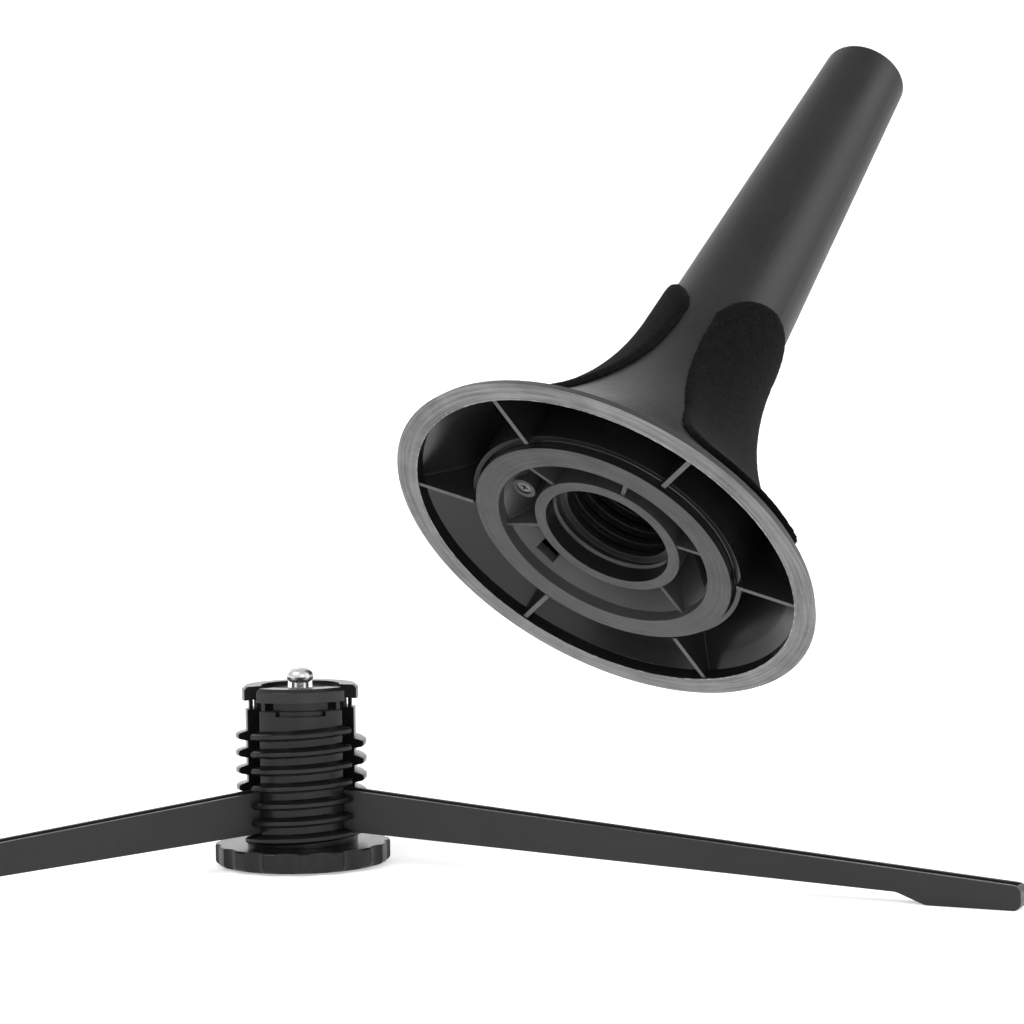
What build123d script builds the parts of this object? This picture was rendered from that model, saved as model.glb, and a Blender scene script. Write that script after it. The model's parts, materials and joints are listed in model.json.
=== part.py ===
from build123d import *
from math import acos, atan, ceil, cos, degrees, radians, sin, tan
import os

# Trumpet stand, millimetres.  +Z is up.  The origin is on the hub axis at the
# underside of the grip disc.  The base stands on its three opened legs; the
# peg lies unscrewed beside it, leaning with its mouth towards -Y.

# ---- shared layout ----
LEG_AZIMUTHS = (-30, 90, 210)
SEGMENT_AZIMUTHS = (30, 150, 270)
PAST = 1.0  # how far a cutting shape runs past the face it cuts

# ---- screw thread between hub and peg ----
PITCH = 4.0
CREST_R = 15.35
ROOT_R = 12.95
RIDGE_BASE_W = 2.4
RIDGE_SLOPE = 0.47
RIDGE_SHOULDER_R = 14.85
RIDGE_CREST_W = 0.8
RIDGE_BURIED = 0.3
THREAD_GAP = 0.3
THREAD_PHASE_Z = 7.0
THREAD_PHASE_AZIMUTH = -90
RIDGE_FIRST_AZIMUTH = -150
RIDGE_TURNS = 6 + 120 / 360

# ---- grip disc ----
DISC_R = 20.5
DISC_H = 4.7
DISC_BOTTOM_ROUND = 1.0
DISC_TOP_ROUND = 0.5
SCALLOPS = 16
SCALLOP_R = 4.6
SCALLOP_DEPTH = 1.05
SPIGOT_R = 7.9
SPIGOT_H = 0.8

# ---- hub ----
SLOT_W = 5.7
SLOT_FLOOR_Z = 7.7
WELL_R = 3.25
COLLAR_TOP_Z = 36.3
COLLAR_NOTCH_W = 11.6
COLLAR_NOTCH_H = 1.1
COLLAR_NOTCH_DEPTH = 1.2
NECK_R = 12.4
NECK_TOP_Z = 39.0
WINDOW_W = 16.4
WINDOW_TOP_Z = 38.5
WINDOW_FLOOR_R = 10.9
POCKET_W = 1.95
POCKET_START_X = 4.5

# ---- cap ring ----
CAP_R = 13.68
CAP_LIP_INNER_R = 12.4
CAP_LIP_Z = 38.4
CAP_TOP_Z = 41.6
CAP_CHAMFER = 0.8
CAP_RECESS_R = 9.2
CAP_PLATE_Z = 40.6
CAP_SLOT_W = 5.7
CAP_CORE_R = 3.25

# ---- ball-headed centre pin, screwed into the grip disc, and its sleeve ----
PIN_R = 1.5
PIN_END_Z = 1.5
BALL_R = 3.2
BALL_HALF_H = 2.1
BALL_Z = 43.7
NECK_PIN_R = 2.0
SLEEVE_R = 3.1
SLEEVE_H = 2.9
SLEEVE_TOP_Z = 38.8

# ---- legs: folded sheet-steel channels, open side up ----
PIVOT_R = 8.5
PIVOT_Z = 12.9
LEG_ROOT_R = 5.0
LEG_W = 5.2
SHEET = 1.0
LEG_TOP_DROOP = 4.6
LEG_BOTTOM_DROOP = 2.6
LEG_BOTTOM_DROP = 4.72
LEG_REACH = 172.5
FLOOR_Z = -0.5
SOLE_LENGTH = 20.5
HEEL_RUN = 6.4
HEEL_ROUND = 4.0
TIP_ROUND = 1.8
PIVOT_PIN_R = 1.25
PIVOT_PIN_LENGTH = 12.5
PIVOT_HOLE_GAP = 0.1
BUSH_R = 2.5
BUSH_LENGTH = 3.1

# ---- peg shell, in its own frame: mouth plane at z = 0, tip upwards ----
RIM_R = 55.5
RIM_FACE_W = 5.5
RIM_EDGE_R = 54.5
RIM_EDGE_Z = 2.0
FLARE_ANGLE = 54.0
FLARE_BLEND_R = 75.0
TIP_R = 11.3
TIP_ROUND_R = 1.5
PEG_LENGTH = 174.8
CONE_TAPER = 0.0486
WALL = 1.8
INNER_WALL_R = 34.4
INNER_WALL_T = 1.2
INNER_WALL_EDGE_Z = 2.2
RIB_COUNT = 6
RIB_FIRST_ANGLE = 24.6
RIB_T = 1.2
RIB_EDGE_Z = 0.5
RIB_TOP_Z = 20.0

# ---- threaded insert ----
FLANGE_R = 33.85
FLANGE_INNER_R = 27.75
FLANGE_T = 2.2
SKIRT_R = 34.35
SKIRT_T = 2.1
SKIRT_TOP_Z = 12.0
TROUGH_START_Z = 3.0
TROUGH_END_Z = 13.6
TUBE_R = 19.2
TUBE_END_Z = 2.75
TUBE_TOP_Z = 34.0
LEAD_IN_R = 16.3
LEAD_IN_Z = 7.0
BORE_R = 14.0
INNER_THREAD_START_Z = 8.0
INNER_THREAD_TURNS = 5.5
INSERT_WALL = 2.0
SKIRT_STEP_Z = 2.8
WEB_ANGLES = (10.5, 70.5, 190.5, 250.5, 310.5)
WEB_T = 1.0
WINDOW_FIRST_ANGLE = 40.5
TROUGH_WINDOW = 6.0
TROUGH_WINDOW_R = 23.6
BOSS_ANGLE = -139.5
BOSS_AT_R = 23.4
BOSS_R = 3.1
BOSS_END_Z = 4.5
BOSS_TOP_Z = 15.0
SCREW_R = 1.25
SCREW_HEAD_R = 1.9
SCREW_HEAD_H = 1.4
SCREW_SUNK = 0.4
CROSS_W = 0.6
CROSS_DEPTH = 0.9
SCREW_TIP_Z = 22.0
SCREW_HOLE_GAP = 0.1

# ---- felt pads ----
PAD_ANGLES = (-10, 110, 230)
PAD_T = 1.8
PAD_TOP_Z = 76.3
PAD_SHOULDER_Z = 62.5
PAD_WAIST_Z = 28.0
PAD_BOTTOM_Z = 4.5
PAD_TOP_HALF_W = 12.4
PAD_WAIST_HALF_W = 15.2
PAD_BOTTOM_HALF_W = 22.5
PAD_CORNER_R = 11.0

# ---- where the peg sits when screwed on, and where it lies now ----
SEAT_Z = 16.45
SEAT_TURN = -81.114
PEG_MOUTH_AT = (73.3, 14.15, 72.12)
PEG_LEAN = 45.0
PEG_HEADING = 46.5
PEG_TURN = -90.0


def turned(points):
    """Solid of revolution about Z from (radius, height) corner points."""
    outline = Polyline(*[(r, z) for r, z in points], close=True)
    return revolve(Plane.XZ * make_face(outline), Axis.Z)


def ring(outer_r, inner_r, bottom, top):
    """Plain ring about Z."""
    return turned([(inner_r, bottom), (outer_r, bottom), (outer_r, top), (inner_r, top)])


def disc(radius, bottom, top):
    """Plain cylinder on Z between two heights."""
    return Pos(0, 0, bottom) * Cylinder(radius, top - bottom, align=(Align.CENTER, Align.CENTER, Align.MIN))


def block(x0, x1, half_y, z0, z1):
    """Box spanning x0..x1 and z0..z1, centred on y = 0."""
    return Pos((x0 + x1) / 2, 0, (z0 + z1) / 2) * Box(x1 - x0, 2 * half_y, z1 - z0)


def around(shape, angles):
    """Copies of a shape turned about Z to each angle, fused."""
    copies = [Rot(0, 0, angle) * shape for angle in angles]
    fused = copies[0]
    for copy in copies[1:]:
        fused = fused + copy
    return fused


def evenly(count, first=0.0):
    """Angles of an even spacing round a full turn."""
    return [first + 360 * k / count for k in range(count)]


def thread_ridge(profile, start_angle, turns, start_z):
    """Right-hand ridge on a helix; profile lists (radius, width) outwards.

    start_z is the height of the ridge's middle where it starts.
    """
    helix = Helix(PITCH, PITCH * turns, profile[0][0])
    lower_side = [(radius, -width / 2) for radius, width in profile]
    upper_side = [(radius, width / 2) for radius, width in reversed(profile)]
    section = Polyline(*lower_side, *upper_side, close=True)
    ridge = sweep(Plane.XZ * make_face(section), path=helix, is_frenet=True)
    return Pos(0, 0, start_z) * Rot(0, 0, start_angle) * ridge


def ridge_width(radius):
    """Width of the hub's ridge at a radius below its shoulder."""
    return RIDGE_BASE_W - RIDGE_SLOPE * (radius - ROOT_R)


def make_grip_disc():
    body = turned([(0, 0), (DISC_R, 0), (DISC_R, DISC_H), (0, DISC_H)])
    rims = body.edges().filter_by(GeomType.CIRCLE).sort_by(Axis.Z)
    body = fillet(rims[0], DISC_BOTTOM_ROUND)
    body = fillet(body.edges().filter_by(GeomType.CIRCLE).sort_by(Axis.Z)[-1], DISC_TOP_ROUND)
    scallop = Pos(DISC_R - SCALLOP_DEPTH + SCALLOP_R, 0, 0) * disc(SCALLOP_R, -PAST, DISC_H + PAST)
    half_step = 180 / SCALLOPS
    body = body - around(scallop, evenly(SCALLOPS, half_step - 90))
    body = body - disc(SPIGOT_R, DISC_H - SPIGOT_H, DISC_H + PAST)
    return body - disc(PIN_R, PIN_END_Z, DISC_H + PAST)


def make_hub():
    body = turned([
        (0, DISC_H - SPIGOT_H),
        (SPIGOT_R, DISC_H - SPIGOT_H),
        (SPIGOT_R, DISC_H),
        (ROOT_R, DISC_H),
        (ROOT_R, COLLAR_TOP_Z),
        (NECK_R, COLLAR_TOP_Z),
        (NECK_R, NECK_TOP_Z),
        (0, NECK_TOP_Z),
    ])
    body = body + hub_ridge()
    slot = block(0, CREST_R + PAST, SLOT_W / 2, SLOT_FLOOR_Z, NECK_TOP_Z + PAST)
    body = body - around(slot, LEG_AZIMUTHS)
    body = body - disc(WELL_R, SLOT_FLOOR_Z, NECK_TOP_Z + PAST)
    body = body - around(neck_window(), SEGMENT_AZIMUTHS)
    body = body - around(collar_notch(), SEGMENT_AZIMUTHS)
    pin_hole = Pos(PIVOT_R, 0, PIVOT_Z) * Rot(90, 0, 0) * Cylinder(PIVOT_PIN_R, PIVOT_PIN_LENGTH)
    body = body - around(pin_hole, LEG_AZIMUTHS)
    return body - disc(PIN_R, 0, SLOT_FLOOR_Z + PAST)


def hub_ridge():
    """The hub's outside thread, with its crest corners taken off."""
    buried_r = ROOT_R - RIDGE_BURIED
    profile = [
        (buried_r, ridge_width(buried_r)),
        (RIDGE_SHOULDER_R, ridge_width(RIDGE_SHOULDER_R)),
        (CREST_R, RIDGE_CREST_W),
    ]
    start_z = THREAD_PHASE_Z + PITCH * (RIDGE_FIRST_AZIMUTH - THREAD_PHASE_AZIMUTH) / 360
    return thread_ridge(profile, RIDGE_FIRST_AZIMUTH, RIDGE_TURNS, start_z)


def neck_window():
    """Shallow flat-sided recess under the cap with a deep pocket at each end."""
    recess = block(0, CREST_R, WINDOW_W / 2, COLLAR_TOP_Z, WINDOW_TOP_Z)
    recess = recess - disc(WINDOW_FLOOR_R, COLLAR_TOP_Z, WINDOW_TOP_Z)
    pocket = block(POCKET_START_X, CREST_R, POCKET_W / 2, COLLAR_TOP_Z, WINDOW_TOP_Z)
    for side in (-1, 1):
        recess = recess + Pos(0, side * (WINDOW_W - POCKET_W) / 2, 0) * pocket
    return recess


def collar_notch():
    notch_floor_z = COLLAR_TOP_Z - COLLAR_NOTCH_H
    notch = block(0, CREST_R, COLLAR_NOTCH_W / 2, notch_floor_z, COLLAR_TOP_Z)
    return notch - disc(ROOT_R - COLLAR_NOTCH_DEPTH, notch_floor_z, COLLAR_TOP_Z)


def make_cap_ring():
    body = turned([
        (PIN_R, NECK_TOP_Z),
        (CAP_LIP_INNER_R, NECK_TOP_Z),
        (CAP_LIP_INNER_R, CAP_LIP_Z),
        (CAP_R, CAP_LIP_Z),
        (CAP_R, CAP_TOP_Z - CAP_CHAMFER),
        (CAP_R - CAP_CHAMFER, CAP_TOP_Z),
        (CAP_RECESS_R, CAP_TOP_Z),
        (CAP_RECESS_R, CAP_PLATE_Z),
        (PIN_R, CAP_PLATE_Z),
    ])
    slot = block(CAP_CORE_R, CAP_R + PAST, CAP_SLOT_W / 2, CAP_LIP_Z - PAST, CAP_TOP_Z + PAST)
    return body - around(slot, LEG_AZIMUTHS)


def ball_point(angle):
    """Point on the flattened ball outline, angle up from its widest level."""
    return (BALL_R * cos(radians(angle)), BALL_Z + BALL_HALF_H * sin(radians(angle)))


def make_centre_pin():
    under = -degrees(acos(NECK_PIN_R / BALL_R))
    crown = ThreePointArc(ball_point(90), ball_point(65), ball_point(40))
    side = ThreePointArc(ball_point(40), ball_point(0), ball_point(under))
    stem = Polyline(
        side @ 1,
        (NECK_PIN_R, CAP_PLATE_Z),
        (PIN_R, CAP_PLATE_Z),
        (PIN_R, PIN_END_Z),
        (0, PIN_END_Z),
        crown @ 0,
    )
    return revolve(Plane.XZ * make_face([crown, side, stem]), Axis.Z)


def make_pin_sleeve():
    return ring(SLEEVE_R, PIN_R + PIVOT_HOLE_GAP, SLEEVE_TOP_Z - SLEEVE_H, SLEEVE_TOP_Z)


def leg_side_face():
    """Side outline of a leg in the XZ plane, x measured from the hub axis."""
    top_z = PIVOT_Z + LEG_ROOT_R
    bottom_z = PIVOT_Z - LEG_BOTTOM_DROP
    heel_end = LEG_REACH - SOLE_LENGTH
    heel_start = heel_end - HEEL_RUN

    def top_at(x):
        return top_z - (x - PIVOT_R) * tan(radians(LEG_TOP_DROOP))

    def bottom_at(x):
        return bottom_z - (x - PIVOT_R) * tan(radians(LEG_BOTTOM_DROOP))

    root_bottom = (PIVOT_R - (LEG_ROOT_R**2 - LEG_BOTTOM_DROP**2) ** 0.5, bottom_z)
    root_top = (PIVOT_R, top_z)
    root = ThreePointArc(root_top, (PIVOT_R - LEG_ROOT_R, PIVOT_Z), root_bottom)
    heel = (heel_start, bottom_at(heel_start))
    sole = (heel_end, FLOOR_Z)
    edge = Polyline(root_bottom, heel, sole, (LEG_REACH, FLOOR_Z), (LEG_REACH, top_at(LEG_REACH)), root_top)
    side = make_face([root, edge])
    for corner in (heel, sole):
        side = fillet(side.vertices().sort_by_distance(corner)[0], HEEL_ROUND)
    tip_corners = side.vertices().sort_by(Axis.X)[-2:]
    return fillet(tip_corners, TIP_ROUND)


def make_leg():
    """Channel leg: its hollow is the side outline lifted until the top is open."""
    side = leg_side_face()
    upright = Plane.XZ
    body = extrude(upright * side, LEG_W / 2, both=True)
    inside = offset(side, -SHEET)
    half_gap = LEG_W / 2 - SHEET
    for lift in (0, SHEET, 2 * SHEET, 3 * SHEET):
        body = body - extrude(upright * Pos(0, lift) * inside, half_gap, both=True)
    body = body - block(0, PIVOT_R, half_gap, 0, PIVOT_Z + 2 * LEG_ROOT_R)
    hole = Pos(PIVOT_R, 0, PIVOT_Z) * Rot(90, 0, 0) * Cylinder(PIVOT_PIN_R + PIVOT_HOLE_GAP, 2 * LEG_W)
    return body - hole


def make_pivot_pin():
    return Pos(PIVOT_R, 0, PIVOT_Z) * Rot(90, 0, 0) * Cylinder(PIVOT_PIN_R, PIVOT_PIN_LENGTH)


def make_pivot_bush():
    tube = Cylinder(BUSH_R, BUSH_LENGTH) - Cylinder(PIVOT_PIN_R + PIVOT_HOLE_GAP, 2 * BUSH_LENGTH)
    return Pos(PIVOT_R, 0, PIVOT_Z) * Rot(90, 0, 0) * tube


def flare_radius(z, inset):
    """Radius of the straight part of the flare, moved inwards by inset."""
    flare = radians(FLARE_ANGLE)
    return RIM_EDGE_R + (RIM_EDGE_Z - z) * tan(flare) - inset / cos(flare)


def cone_radius(z, inset):
    """Radius of the upper cone, moved inwards by inset."""
    return TIP_R + CONE_TAPER * (PEG_LENGTH - z) - inset / cos(atan(CONE_TAPER))


def peg_form(inset, foot):
    """Solid bell form of the peg with its skin moved inwards by inset."""
    bend_z = (flare_radius(0, inset) - cone_radius(0, inset)) / (tan(radians(FLARE_ANGLE)) - CONE_TAPER)
    bend = (cone_radius(bend_z, inset), bend_z)
    top_z = PEG_LENGTH - inset
    tip = (cone_radius(top_z, inset), top_z)
    outline = Polyline((0, foot[0][1]), *foot, bend, tip, (0, top_z), close=True)
    face = make_face(outline)
    face = fillet(face.vertices().sort_by_distance(bend)[0], FLARE_BLEND_R + inset)
    face = fillet(face.vertices().sort_by_distance(tip)[0], TIP_ROUND_R)
    return revolve(Plane.XZ * face, Axis.Z)


def outer_form():
    return peg_form(0, [(RIM_R, 0), (RIM_EDGE_R, RIM_EDGE_Z)])


def inner_form():
    bore_r = RIM_R - RIM_FACE_W
    foot_z = (flare_radius(0, WALL) - bore_r) / tan(radians(FLARE_ANGLE))
    return peg_form(WALL, [(bore_r, -PAST), (bore_r, foot_z)])


def felt_form():
    edge_r = flare_radius(RIM_EDGE_Z, -PAD_T)
    return peg_form(-PAD_T, [(edge_r, 0), (edge_r, RIM_EDGE_Z)])


def make_peg_shell():
    outer = outer_form()
    rib_start = INNER_WALL_R + INNER_WALL_T / 2
    rib = block(rib_start, RIM_R - RIM_FACE_W + PAST, RIB_T / 2, RIB_EDGE_Z, RIB_TOP_Z)
    inside = around(rib, evenly(RIB_COUNT, RIB_FIRST_ANGLE))
    inside = inside + ring(INNER_WALL_R + INNER_WALL_T, INNER_WALL_R, INNER_WALL_EDGE_Z, RIB_TOP_Z)
    boss_post = Pos(BOSS_AT_R, 0, 0) * disc(BOSS_R, BOSS_TOP_Z, PEG_LENGTH / 4)
    inside = inside + Rot(0, 0, BOSS_ANGLE) * boss_post
    shell = (outer - inner_form()) + (inside & outer)
    pilot = Pos(BOSS_AT_R, 0, 0) * disc(SCREW_R, BOSS_TOP_Z - PAST, SCREW_TIP_Z + PAST)
    return shell - Rot(0, 0, BOSS_ANGLE) * pilot


def make_threaded_insert():
    groove_r = CREST_R + THREAD_GAP
    body = turned([
        (FLANGE_INNER_R, 0),
        (FLANGE_R, 0),
        (FLANGE_R, FLANGE_T),
        (SKIRT_R, SKIRT_STEP_Z),
        (SKIRT_R, SKIRT_TOP_Z),
        (SKIRT_R - SKIRT_T, SKIRT_TOP_Z),
        (SKIRT_R - SKIRT_T, TROUGH_START_Z),
        (FLANGE_INNER_R + INSERT_WALL, TROUGH_START_Z),
        (TUBE_R, TROUGH_END_Z + INSERT_WALL),
        (TUBE_R, TUBE_TOP_Z),
        (groove_r, TUBE_TOP_Z),
        (groove_r, LEAD_IN_Z + LEAD_IN_R - groove_r),
        (LEAD_IN_R, LEAD_IN_Z),
        (LEAD_IN_R, TUBE_END_Z),
        (TUBE_R, TUBE_END_Z),
        (TUBE_R, TROUGH_END_Z),
        (FLANGE_INNER_R, TROUGH_START_Z),
    ])
    body = body + trough_webs()
    half = TROUGH_WINDOW / 2
    window_top_z = BOSS_TOP_Z + INSERT_WALL
    window = block(TROUGH_WINDOW_R - half, TROUGH_WINDOW_R + half, half, TUBE_END_Z, window_top_z)
    body = body - around(window, evenly(3, WINDOW_FIRST_ANGLE))
    boss_at = Rot(0, 0, BOSS_ANGLE) * Pos(BOSS_AT_R, 0, 0)
    seat_z = BOSS_END_Z + SCREW_SUNK
    boss_core = disc(SCREW_R + SCREW_HOLE_GAP, 0, BOSS_TOP_Z + PAST)
    boss_core = boss_core + disc(SCREW_HEAD_R + SCREW_HOLE_GAP, 0, seat_z + SCREW_HEAD_H)
    body = body + boss_at * disc(BOSS_R, BOSS_END_Z, BOSS_TOP_Z)
    body = body - boss_at * boss_core
    return body + inner_thread(groove_r)


def trough_webs():
    """Thin webs that bridge the trough between the flange and the tube."""
    lap = WEB_T / 2
    space = turned([
        (TUBE_R - lap, TUBE_END_Z + lap),
        (FLANGE_INNER_R + lap, FLANGE_T - lap),
        (FLANGE_INNER_R + lap, TROUGH_START_Z + lap),
        (TUBE_R - lap, TROUGH_END_Z + lap),
    ])
    web = block(TUBE_R - PAST, FLANGE_INNER_R + PAST, WEB_T / 2, 0, BOSS_TOP_Z)
    return around(web, WEB_ANGLES) & space


def inner_thread(groove_r):
    """Inside thread: fills what the hub's ridge leaves free, less the gap."""
    buried_r = groove_r + RIDGE_BURIED
    profile = [(radius, PITCH - ridge_width(radius) - 2 * THREAD_GAP) for radius in (BORE_R, buried_r)]
    seated_z = THREAD_PHASE_Z - SEAT_Z + PITCH * (SEAT_TURN - THREAD_PHASE_AZIMUTH) / 360
    between_z = seated_z + PITCH / 2
    start_z = between_z + PITCH * ceil((INNER_THREAD_START_Z - between_z) / PITCH)
    return thread_ridge(profile, 0, INNER_THREAD_TURNS, start_z)


def make_insert_screw():
    head_z = BOSS_END_Z + SCREW_SUNK
    screw = disc(SCREW_HEAD_R, head_z, head_z + SCREW_HEAD_H) + disc(SCREW_R, head_z, SCREW_TIP_Z)
    arm = SCREW_HEAD_R / 2
    cross = block(-arm, arm, CROSS_W / 2, 0, head_z + CROSS_DEPTH)
    screw = screw - cross - Rot(0, 0, 90) * cross
    return Rot(0, 0, BOSS_ANGLE) * Pos(BOSS_AT_R, 0, 0) * screw


def make_felt_pad():
    """Felt pad glued on the flare, facing +X in the peg frame."""
    layer = felt_form() - outer_form()
    top = ThreePointArc((PAD_TOP_HALF_W, PAD_SHOULDER_Z), (0, PAD_TOP_Z), (-PAD_TOP_HALF_W, PAD_SHOULDER_Z))
    sides = Polyline(
        (-PAD_TOP_HALF_W, PAD_SHOULDER_Z),
        (-PAD_WAIST_HALF_W, PAD_WAIST_Z),
        (-PAD_BOTTOM_HALF_W, PAD_BOTTOM_Z),
        (PAD_BOTTOM_HALF_W, PAD_BOTTOM_Z),
        (PAD_WAIST_HALF_W, PAD_WAIST_Z),
        (PAD_TOP_HALF_W, PAD_SHOULDER_Z),
    )
    face = make_face([top, sides])
    face = fillet(face.vertices().sort_by(Axis.Y)[:2], PAD_CORNER_R)
    return layer & extrude(Plane.YZ * face, RIM_R + 2 * PAD_T)


def save(shape, node):
    """Write one separate piece to its own STEP file."""
    solids = shape.solids()
    if len(solids) != 1:
        print(node, "has", len(solids), "solids")
    export_step(solids.sort_by(SortBy.VOLUME)[-1], f"parts/{node}.step")


def save_base():
    pieces = {
        "grip_disc": make_grip_disc(),
        "hub": make_hub(),
        "cap_ring": make_cap_ring(),
        "centre_pin": make_centre_pin(),
        "pin_sleeve": make_pin_sleeve(),
    }
    for node, shape in pieces.items():
        save(shape, node)


def save_legs():
    pieces = {"leg": make_leg(), "pivot_pin": make_pivot_pin(), "pivot_bush": make_pivot_bush()}
    for name, shape in pieces.items():
        for number, azimuth in enumerate(LEG_AZIMUTHS, start=1):
            save(Rot(0, 0, azimuth) * shape, f"{name}_{number}")


def save_peg():
    laid_aside = Pos(*PEG_MOUTH_AT) * Rot(0, 0, PEG_HEADING) * Rot(0, PEG_LEAN, 0) * Rot(0, 0, PEG_TURN)
    save(laid_aside * make_peg_shell(), "peg_shell")
    save(laid_aside * make_threaded_insert(), "threaded_insert")
    save(laid_aside * make_insert_screw(), "insert_screw")
    pad = make_felt_pad()
    for number, angle in enumerate(PAD_ANGLES, start=1):
        save(laid_aside * Rot(0, 0, angle) * pad, f"felt_pad_{number}")


os.makedirs("parts", exist_ok=True)
save_base()
save_legs()
save_peg()
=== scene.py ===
import json
import math
from bisect import bisect_right

import bpy
from mathutils import Matrix, Vector, noise


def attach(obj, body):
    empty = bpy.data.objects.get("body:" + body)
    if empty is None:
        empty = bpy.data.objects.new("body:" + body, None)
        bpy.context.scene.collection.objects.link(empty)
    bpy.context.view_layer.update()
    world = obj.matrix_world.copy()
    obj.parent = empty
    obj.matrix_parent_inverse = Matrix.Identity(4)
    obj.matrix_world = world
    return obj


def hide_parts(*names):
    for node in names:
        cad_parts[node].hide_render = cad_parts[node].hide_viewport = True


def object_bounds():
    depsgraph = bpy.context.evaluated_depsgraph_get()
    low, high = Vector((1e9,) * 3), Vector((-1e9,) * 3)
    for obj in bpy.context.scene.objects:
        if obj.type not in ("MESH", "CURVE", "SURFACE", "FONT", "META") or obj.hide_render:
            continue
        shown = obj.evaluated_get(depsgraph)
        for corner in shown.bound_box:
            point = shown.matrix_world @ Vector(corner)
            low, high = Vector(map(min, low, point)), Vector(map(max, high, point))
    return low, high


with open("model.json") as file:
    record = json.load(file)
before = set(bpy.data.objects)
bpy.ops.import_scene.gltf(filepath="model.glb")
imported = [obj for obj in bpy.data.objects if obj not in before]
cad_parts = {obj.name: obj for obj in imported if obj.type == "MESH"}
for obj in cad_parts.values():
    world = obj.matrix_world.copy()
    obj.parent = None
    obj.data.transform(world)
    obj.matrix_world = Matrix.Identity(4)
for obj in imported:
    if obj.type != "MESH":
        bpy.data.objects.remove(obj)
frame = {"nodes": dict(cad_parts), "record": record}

CAD_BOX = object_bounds()
MM = 0.001
NODES = frame["nodes"]

# ---- camera: place, aim and lens ----
CAMERA_AT = Vector((0.0, -0.63885, 0.10457))
CAMERA_YAW = 4.524
CAMERA_PITCH = -2.095
CAMERA_ROLL = -0.888
CAMERA_LENS = 95.6
SENSOR = 36.0

# ---- peg frame, read from the record's mount on the cone ----
MOUNT_HEIGHT = 70 * MM
PEG_MOUNT = next(m for m in frame["record"]["mounts"] if m["name"] == "peg_cone")
PEG_AXIS = Vector(PEG_MOUNT["axis"]).normalized()
PEG_MOUTH = Vector(PEG_MOUNT["pos_m"]) - MOUNT_HEIGHT * PEG_AXIS
PEG_SIDE = PEG_AXIS.cross(Vector((0, 0, 1))).normalized()
PEG_FRONT = PEG_AXIS.cross(PEG_SIDE)

# ---- peg shell: where one finish ends and the next begins ----
RIM_INNER_R = 49.9 * MM
BURR_WIDTH = 0.45 * MM
FLAT_TOL = 0.12 * MM
HALF_WALL = 0.9 * MM
RIB_EDGE_HEIGHT = 0.5 * MM
TIP_HEIGHT = 150 * MM
FACES_MOUTH = -0.9
FACES_TIP = 0.5
FACES_OUT = 0.02

# ---- threaded insert: the same ----
BORE_R = 16.4 * MM
FRONT_HEIGHT = 3.2 * MM
FLANGE_START_R = 24 * MM
TROUGH_R = 28.2 * MM
TROUGH_DEPTH = 14.5 * MM


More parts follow.
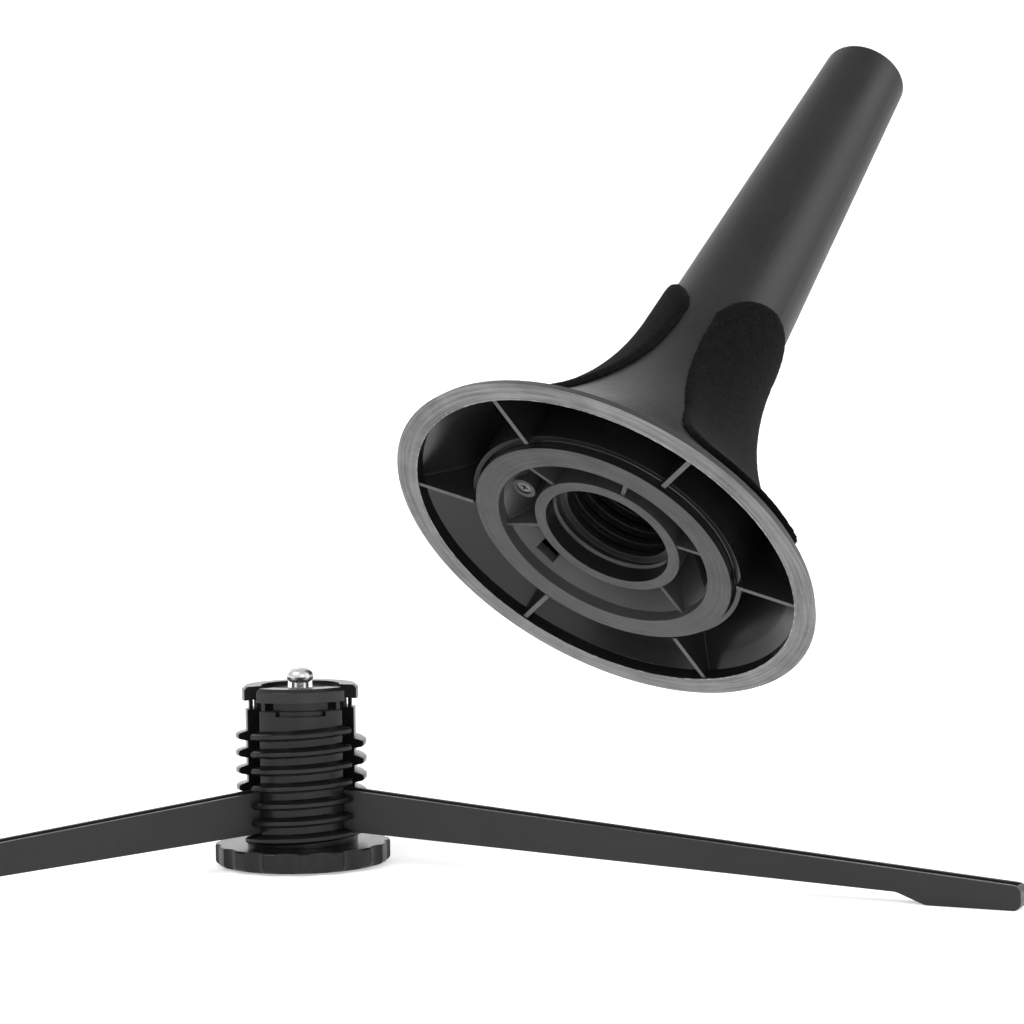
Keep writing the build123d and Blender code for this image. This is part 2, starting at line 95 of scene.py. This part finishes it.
# ---------------------------------------------------------------- shader help
class Shader:
    """Short calls for building one node material."""

    def __init__(self, name):
        self.material = bpy.data.materials.new(name)
        self.material.use_nodes = True
        self.tree = self.material.node_tree
        self.tree.nodes.clear()
        self.output = self.node("ShaderNodeOutputMaterial")
        self.surface = self.node("ShaderNodeBsdfPrincipled")
        self.link(self.surface.outputs[0], self.output.inputs[0])
        self.coords = self.node("ShaderNodeTexCoord").outputs["Object"]

    def node(self, kind, **settings):
        made = self.tree.nodes.new(kind)
        for key, value in settings.items():
            setattr(made, key, value)
        return made

    def link(self, source, target):
        self.tree.links.new(source, target)

    def put(self, target, value):
        """Set a socket to a number, a vector or another socket."""
        if isinstance(value, bpy.types.NodeSocket):
            self.link(value, target)
        else:
            target.default_value = value

    def math(self, operation, a, b=0.0, clamp=False):
        made = self.node("ShaderNodeMath", operation=operation, use_clamp=clamp)
        self.put(made.inputs[0], a)
        self.put(made.inputs[1], b)
        return made.outputs[0]

    def dot(self, a, vector):
        made = self.node("ShaderNodeVectorMath", operation="DOT_PRODUCT")
        self.put(made.inputs[0], a)
        self.put(made.inputs[1], vector)
        return made.outputs["Value"]

    def shift(self, a, vector):
        made = self.node("ShaderNodeVectorMath", operation="SUBTRACT")
        self.put(made.inputs[0], a)
        self.put(made.inputs[1], vector)
        return made.outputs[0]

    def join(self, x, y, z):
        made = self.node("ShaderNodeCombineXYZ")
        for socket, value in zip(made.inputs, (x, y, z)):
            self.put(socket, value)
        return made.outputs[0]

    def stretch(self, vector, scale):
        made = self.node("ShaderNodeMapping")
        self.link(vector, made.inputs["Vector"])
        made.inputs["Scale"].default_value = scale
        return made.outputs[0]

    def noise(self, vector, scale, detail=3.0, roughness=0.55):
        made = self.node("ShaderNodeTexNoise")
        self.link(vector, made.inputs["Vector"])
        made.inputs["Scale"].default_value = scale
        made.inputs["Detail"].default_value = detail
        made.inputs["Roughness"].default_value = roughness
        return made.outputs["Fac"]

    def ramp(self, fac, low, high, value_low=0.0, value_high=1.0):
        made = self.node("ShaderNodeMapRange")
        self.put(made.inputs["Value"], fac)
        made.inputs["From Min"].default_value = low
        made.inputs["From Max"].default_value = high
        made.inputs["To Min"].default_value = value_low
        made.inputs["To Max"].default_value = value_high
        return made.outputs[0]

    def mix(self, fac, a, b):
        made = self.node("ShaderNodeMix", data_type="RGBA")
        self.put(made.inputs[0], fac)
        self.put(made.inputs[6], a)
        self.put(made.inputs[7], b)
        return made.outputs[2]

    def soft_edge(self, radius):
        """Normal rounded over sharp edges."""
        made = self.node("ShaderNodeBevel")
        made.samples = 4
        made.inputs["Radius"].default_value = radius
        return made.outputs[0]

    def bump(self, height, strength, distance, normal=None):
        made = self.node("ShaderNodeBump")
        made.inputs["Strength"].default_value = strength
        made.inputs["Distance"].default_value = distance
        self.link(height, made.inputs["Height"])
        if normal is not None:
            self.link(normal, made.inputs["Normal"])
        return made.outputs[0]

    def edge_highlight_mask(self, radius):
        """1 on convex edges, 0 on flat surface: the mask for painted edge highlights."""
        rounded = self.soft_edge(radius)
        geometry = self.node("ShaderNodeNewGeometry")
        made = self.node("ShaderNodeVectorMath", operation="DOT_PRODUCT")
        self.link(rounded, made.inputs[0])
        self.link(geometry.outputs["Normal"], made.inputs[1])
        return self.ramp(made.outputs["Value"], 0.98, 0.80)

    def finish(self, color, roughness, normal, **extra):
        self.put(self.surface.inputs["Base Color"], color)
        self.put(self.surface.inputs["Roughness"], roughness)
        if normal is not None:
            self.link(normal, self.surface.inputs["Normal"])
        for key, value in extra.items():
            self.put(self.surface.inputs[key.replace("_", " ")], value)
        return self.material


def grey(value):
    return (value, value, value * 1.02, 1.0)


def peg_polar(shader):
    """(height above the mouth plane, radius, angle around the axis) in the peg frame."""
    local = shader.shift(shader.coords, PEG_MOUTH)
    height = shader.dot(local, PEG_AXIS)
    across = shader.dot(local, PEG_SIDE)
    ahead = shader.dot(local, PEG_FRONT)
    across_squared = shader.math("MULTIPLY", across, across)
    ahead_squared = shader.math("MULTIPLY", ahead, ahead)
    radius = shader.math("SQRT", shader.math("ADD", across_squared, ahead_squared))
    angle = shader.math("ARCTAN2", ahead, across)
    return height, radius, angle


# ---------------------------------------------------------------- materials
def moulded_plastic(name, base, rough, grain=0.12, edge=0.25 * MM, specular=0.5):
    """Black moulding: fine matt grain, faint mottling, and a painted highlight that lightens the
    edges.
    """
    s = Shader(name)
    mottle = s.noise(s.coords, 90, 4)
    grain_map = s.noise(s.coords, 5200, 2)
    smudge = s.noise(s.coords, 26, 3)
    edge_highlight = s.edge_highlight_mask(edge)
    color = s.mix(s.ramp(mottle, 0.3, 0.7), grey(base * 0.85), grey(base * 1.2))
    # painted highlight: convex edges lightened towards 2.6 times the base grey
    color = s.mix(s.math("MULTIPLY", edge_highlight, 0.5), color, grey(base * 2.6))
    roughness = s.ramp(smudge, 0.3, 0.7, rough * 0.88, rough * 1.14)
    normal = s.bump(grain_map, grain, 0.05 * MM, s.soft_edge(edge))
    return s.finish(color, roughness, normal, Specular_IOR_Level=specular)


def cone_plastic():
    """Outside of the peg: fine grain with faint lengthways drag lines."""
    s = Shader("peg_outside")
    height, radius, angle = peg_polar(s)
    around = s.math("MULTIPLY", angle, 26.0)
    along = s.math("MULTIPLY", height, 90.0)
    drag = s.noise(s.join(around, along, 0.0), 1.0, 4)
    grain = s.noise(s.coords, 4600, 3)
    mottle = s.noise(s.coords, 60, 4)
    color = s.mix(s.ramp(drag, 0.3, 0.7), grey(0.009), grey(0.015))
    color = s.mix(s.ramp(mottle, 0.35, 0.75, 0.0, 0.5), color, grey(0.019))
    roughness = s.ramp(s.math("ADD", drag, mottle), 0.7, 1.3, 0.40, 0.50)
    normal = s.bump(grain, 0.10, 0.05 * MM, s.soft_edge(0.3 * MM))
    return s.finish(color, roughness, normal, Specular_IOR_Level=0.29)


def trimmed_face(name, dark, light, rings, burr_r=None):
    """Rough grey cut face: concentric tool lines, and a torn light burr at burr_r."""
    s = Shader(name)
    height, radius, angle = peg_polar(s)
    across_rings = s.math("MULTIPLY", radius, rings)
    lines = s.noise(s.join(across_rings, s.math("MULTIPLY", angle, 1.6), height), 1.0, 5, 0.7)
    fleck = s.noise(s.coords, 1500, 4, 0.7)
    patch = s.noise(s.coords, 130, 4)
    tone = s.math("ADD", s.math("MULTIPLY", lines, 0.75), s.math("MULTIPLY", patch, 0.25))
    color = s.mix(s.ramp(tone, 0.39, 0.61), grey(dark), grey(light))
    color = s.mix(s.ramp(fleck, 0.62, 0.75, 0.0, 0.7), color, grey(light * 1.5))
    if burr_r is not None:
        off_edge = s.math("ABSOLUTE", s.math("SUBTRACT", radius, burr_r))
        torn = s.ramp(s.noise(s.coords, 700, 4, 0.7), 0.48, 0.60)
        burr = s.math("MULTIPLY", s.ramp(off_edge, 0.1 * MM, BURR_WIDTH, 1.0, 0.0), torn)
        color = s.mix(burr, color, grey(light * 2.2))
    roughness = s.ramp(lines, 0.3, 0.7, 0.5, 0.75)
    relief = s.math("ADD", lines, s.math("MULTIPLY", fleck, 0.5))
    normal = s.bump(relief, 0.55, 0.12 * MM, s.soft_edge(0.25 * MM))
    return s.finish(color, roughness, normal, Specular_IOR_Level=0.5)


def painted_steel():
    """Satin black paint on sheet steel, with a painted highlight along the sheet's edges."""
    s = Shader("leg_paint")
    peel = s.noise(s.coords, 1500, 2)
    dust = s.noise(s.coords, 40, 5)
    scratch = s.noise(s.stretch(s.coords, (60, 60, 900)), 1.0, 2)
    edge_highlight = s.edge_highlight_mask(0.35 * MM)
    color = s.mix(s.ramp(dust, 0.35, 0.7), grey(0.012), grey(0.017))
    # painted highlight: convex edges lightened to grey 0.07, broken up by noise
    broken_edge_highlight = s.math("MULTIPLY", edge_highlight, s.ramp(s.noise(s.coords, 420, 3), 0.4, 0.6, 0.25, 0.9))
    color = s.mix(broken_edge_highlight, color, grey(0.07))
    roughness = s.ramp(s.math("ADD", dust, scratch), 0.7, 1.3, 0.34, 0.48)
    normal = s.bump(peel, 0.08, 0.05 * MM, s.soft_edge(0.3 * MM))
    return s.finish(color, roughness, normal, Specular_IOR_Level=0.33)


def bright_steel(name, base, rough):
    """Turned and polished steel with fine turning lines and smudges."""
    s = Shader(name)
    lines = s.noise(s.stretch(s.coords, (300, 300, 9000)), 1.0, 3)
    smudge = s.noise(s.coords, 700, 3)
    color = s.mix(s.ramp(smudge, 0.4, 0.7), grey(base), grey(base * 0.72))
    roughness = s.ramp(smudge, 0.35, 0.7, rough, rough * 2.2)
    normal = s.bump(lines, 0.10, 0.03 * MM, s.soft_edge(0.15 * MM))
    return s.finish(color, roughness, normal, Metallic=1.0)


def felt():
    """Needled black felt: matted fibres, lint specks and a soft sheen."""
    s = Shader("felt")
    fibres = s.noise(s.coords, 3400, 4, 0.8)
    clumps = s.noise(s.coords, 620, 4, 0.7)
    lint = s.noise(s.coords, 1900, 3, 0.9)
    color = s.mix(s.ramp(clumps, 0.35, 0.7), grey(0.003), grey(0.007))
    color = s.mix(s.ramp(lint, 0.62, 0.72, 0.0, 0.6), color, grey(0.06))
    relief = s.math("ADD", fibres, s.math("MULTIPLY", clumps, 0.5))
    normal = s.bump(relief, 0.6, 0.16 * MM)
    sheen = {"Sheen_Weight": 0.025, "Sheen_Roughness": 0.5}
    return s.finish(color, 0.95, normal, Specular_IOR_Level=0.05, **sheen)


# ---------------------------------------------------------------- CAD finishes
def set_materials(node, materials, choose=None):
    """Give a CAD node its materials; choose(face centre, normal) picks one."""
    mesh = NODES[node].data
    mesh.materials.clear()
    for material in materials:
        mesh.materials.append(material)
    for face in mesh.polygons:
        face.material_index = choose(face.center, face.normal) if choose else 0


def peg_place(point):
    """(height, radius) of a point in the peg frame."""
    local = point - PEG_MOUTH
    height = local.dot(PEG_AXIS)
    return height, (local - height * PEG_AXIS).length


def skin_steps(node):
    """Widest radius at or above each height of a piece, from the top down."""
    places = sorted((peg_place(vertex.co) for vertex in NODES[node].data.vertices), reverse=True)
    depths, widest = [], []
    for height, radius in places:
        depths.append(-height)
        widest.append(max(radius, widest[-1]) if widest else radius)
    return depths, widest


SKIN_DEPTHS, SKIN_RADII = skin_steps("peg_shell")


def skin_radius(height):
    """Radius of the peg's outer skin near a height."""
    return SKIN_RADII[max(0, bisect_right(SKIN_DEPTHS, -height) - 1)]


def shell_part(centre, normal):
    """0 outer skin, 1 rim face, 2 inside, 3 trimmed rib edges."""
    height, radius = peg_place(centre)
    up = normal.dot(PEG_AXIS)
    if up < FACES_MOUTH and abs(height) < FLAT_TOL and radius > RIM_INNER_R:
        return 1
    if up < FACES_MOUTH and abs(height - RIB_EDGE_HEIGHT) < FLAT_TOL:
        return 3
    outward = (centre - PEG_MOUTH) - height * PEG_AXIS
    faces_out = normal.dot(outward.normalized()) > FACES_OUT
    is_skin = faces_out and radius > skin_radius(height) - HALF_WALL
    is_tip = up > FACES_TIP and height > TIP_HEIGHT
    return 0 if is_skin or is_tip else 2


def insert_part(centre, normal):
    """0 hidden walls, 1 flange face, 2 trough, 3 bore, 4 tube end."""
    height, radius = peg_place(centre)
    if radius < BORE_R:
        return 3
    if normal.dot(PEG_AXIS) < FACES_MOUTH and height < FRONT_HEIGHT:
        return 1 if radius > FLANGE_START_R else 4
    return 2 if radius < TROUGH_R and height < TROUGH_DEPTH else 0


def finish_cad():
    hub_plastic = moulded_plastic("hub_plastic", 0.007, 0.24, grain=0.04, specular=0.28)
    disc_plastic = moulded_plastic("disc_plastic", 0.007, 0.25, grain=0.04,
                                   edge=0.14 * MM, specular=0.28)
    cavity = moulded_plastic("peg_cavity", 0.008, 0.20, grain=0.008, specular=0.45)
    trough = moulded_plastic("insert_trough", 0.040, 0.36, grain=0.2)
    bore = moulded_plastic("insert_bore", 0.010, 0.26, grain=0.04)
    edge_grey = trimmed_face("trimmed_edges", 0.05, 0.11, 2200)
    rim_grey = trimmed_face("rim_face", 0.085, 0.23, 1300, RIM_INNER_R)
    flange_grey = trimmed_face("flange_face", 0.028, 0.072, 1500)
    tube_grey = trimmed_face("tube_face", 0.030, 0.075, 1500)
    paint = painted_steel()
    pin_steel = bright_steel("pin_steel", 0.30, 0.30)
    sleeve = moulded_plastic("sleeve_plastic", 0.05, 0.45)
    set_materials("hub", [hub_plastic])
    set_materials("cap_ring", [moulded_plastic("cap_plastic", 0.012, 0.24, grain=0.06, specular=0.34)])
    set_materials("grip_disc", [disc_plastic])
    set_materials("centre_pin", [bright_steel("ball_steel", 0.86, 0.2)])
    set_materials("pin_sleeve", [sleeve])
    set_materials("insert_screw", [pin_steel])
    set_materials("peg_shell", [cone_plastic(), rim_grey, cavity, edge_grey], shell_part)
    set_materials("threaded_insert", [cavity, flange_grey, trough, bore, tube_grey], insert_part)
    for number in (1, 2, 3):
        set_materials(f"leg_{number}", [paint])
        set_materials(f"pivot_pin_{number}", [pin_steel])
        set_materials(f"pivot_bush_{number}", [sleeve])


# ---------------------------------------------------------------- felt pads
PAD_VOXEL = 0.55 * MM
PAD_SMOOTH_STEPS = 4
PAD_FUZZ = 0.07 * MM
PAD_FUZZ_SCALE = 1300.0
FINE_FUZZ = 2.7  # how much finer the second, weaker fuzz is


def evaluated_copy(source, name):
    """New object holding source's mesh with its modifiers applied."""
    graph = bpy.context.evaluated_depsgraph_get()
    mesh = bpy.data.meshes.new_from_object(source.evaluated_get(graph))
    mesh.name = name
    return mesh


def make_pad(number, material):
    """Felt pad: the solid's form with soft edges, then roughened like matted fibre."""
    node = f"felt_pad_{number}"
    source = NODES[node]
    draft = bpy.data.objects.new("pad_draft", source.data.copy())
    bpy.context.scene.collection.objects.link(draft)
    remesh = draft.modifiers.new("remesh", "REMESH")
    remesh.mode = "VOXEL"
    remesh.voxel_size = PAD_VOXEL
    smooth = draft.modifiers.new("smooth", "SMOOTH")
    smooth.iterations = PAD_SMOOTH_STEPS
    smooth.factor = 0.5
    mesh = evaluated_copy(draft, f"felt_{number}")
    bpy.data.objects.remove(draft)
    normals = [vertex.normal.copy() for vertex in mesh.vertices]
    places = [vertex.co.copy() for vertex in mesh.vertices]
    for vertex, place, normal in zip(mesh.vertices, places, normals):
        coarse = noise.noise(place * PAD_FUZZ_SCALE)
        lift = coarse + 0.5 * noise.noise(place * PAD_FUZZ_SCALE * FINE_FUZZ)
        vertex.co = place + normal * (PAD_FUZZ * lift)
    mesh.materials.clear()
    mesh.materials.append(material)
    for face in mesh.polygons:
        face.use_smooth = True
    pad = bpy.data.objects.new(f"felt_{number}", mesh)
    bpy.context.scene.collection.objects.link(pad)
    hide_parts(node)
    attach(pad, "peg")


# ---------------------------------------------------------------- stage
FLOOR_HALF_WIDTH = 4.0
FLOOR_FRONT = -3.0
FLOOR_BEND = 1.6
BEND_R = 0.8
BEND_STEPS = 12
BACKDROP_TOP = 4.0


def make_floor():
    """Pale floor that curves up into a plain backdrop."""
    floor_z = CAD_BOX[0].z
    path = [(FLOOR_FRONT, floor_z), (FLOOR_BEND, floor_z)]
    for step in range(1, BEND_STEPS + 1):
        angle = math.radians(90 * step / BEND_STEPS)
        lift = BEND_R * (1 - math.cos(angle))
        path.append((FLOOR_BEND + BEND_R * math.sin(angle), floor_z + lift))
    path.append((FLOOR_BEND + BEND_R, BACKDROP_TOP))
    mesh = bpy.data.meshes.new("floor")
    verts = [(side * FLOOR_HALF_WIDTH, y, z) for y, z in path for side in (-1, 1)]
    faces = [(2 * k, 2 * k + 1, 2 * k + 3, 2 * k + 2) for k in range(len(path) - 1)]
    mesh.from_pydata(verts, [], faces)
    floor = bpy.data.objects.new("floor", mesh)
    bpy.context.scene.collection.objects.link(floor)
    mesh.materials.append(floor_paper())
    for face in mesh.polygons:
        face.use_smooth = True


def floor_paper():
    s = Shader("floor_paper")
    tone = s.ramp(s.noise(s.coords, 3.0, 3), 0.3, 0.7)
    color = s.mix(tone, (0.93, 0.93, 0.93, 1), (0.96, 0.96, 0.96, 1))
    glow = {"Emission_Color": (1, 1, 1, 1), "Emission_Strength": 0.45}
    return s.finish(color, 0.9, None, Specular_IOR_Level=0.1, **glow)


def add_area(name, place, target, size, power):
    light = bpy.data.lights.new(name, "AREA")
    light.shape = "SQUARE"
    light.size = size
    light.energy = power
    lamp = bpy.data.objects.new(name, light)
    lamp.location = place
    lamp.rotation_euler = (Vector(target) - Vector(place)).to_track_quat("-Z", "Y").to_euler()
    bpy.context.scene.collection.objects.link(lamp)


def make_light():
    world = bpy.data.worlds.new("studio")
    world.use_nodes = True
    background = world.node_tree.nodes["Background"]
    background.inputs["Color"].default_value = (1, 1, 1, 1)
    background.inputs["Strength"].default_value = 0.62
    bpy.context.scene.world = world
    middle = (0.06, 0.0, 0.09)
    add_area("key", (-0.9, -0.9, 1.3), middle, 0.9, 12)
    add_area("front", (0.5, -1.6, 0.35), middle, 1.0, 5)
    add_area("right", (1.2, -0.2, 0.7), middle, 0.8, 7)
    bpy.context.scene.view_settings.view_transform = "Standard"


def make_camera():
    yaw, pitch, roll = (math.radians(v) for v in (CAMERA_YAW, CAMERA_PITCH, CAMERA_ROLL))
    ahead = Vector((math.sin(yaw) * math.cos(pitch), math.cos(yaw) * math.cos(pitch), math.sin(pitch)))
    right = ahead.cross(Vector((0, 0, 1))).normalized()
    up = right.cross(ahead)
    turned_right = right * math.cos(roll) + up * math.sin(roll)
    turned_up = up * math.cos(roll) - right * math.sin(roll)
    data = bpy.data.cameras.new("camera")
    data.sensor_width = SENSOR
    data.lens = CAMERA_LENS
    data.clip_start = 0.01
    camera = bpy.data.objects.new("camera", data)
    turn = Matrix((turned_right, turned_up, -ahead)).transposed()
    camera.matrix_world = Matrix.Translation(CAMERA_AT) @ turn.to_4x4()
    bpy.context.scene.collection.objects.link(camera)
    bpy.context.scene.camera = camera


finish_cad()
felt_material = felt()
for pad_number in (1, 2, 3):
    make_pad(pad_number, felt_material)
make_floor()
make_light()
make_camera()
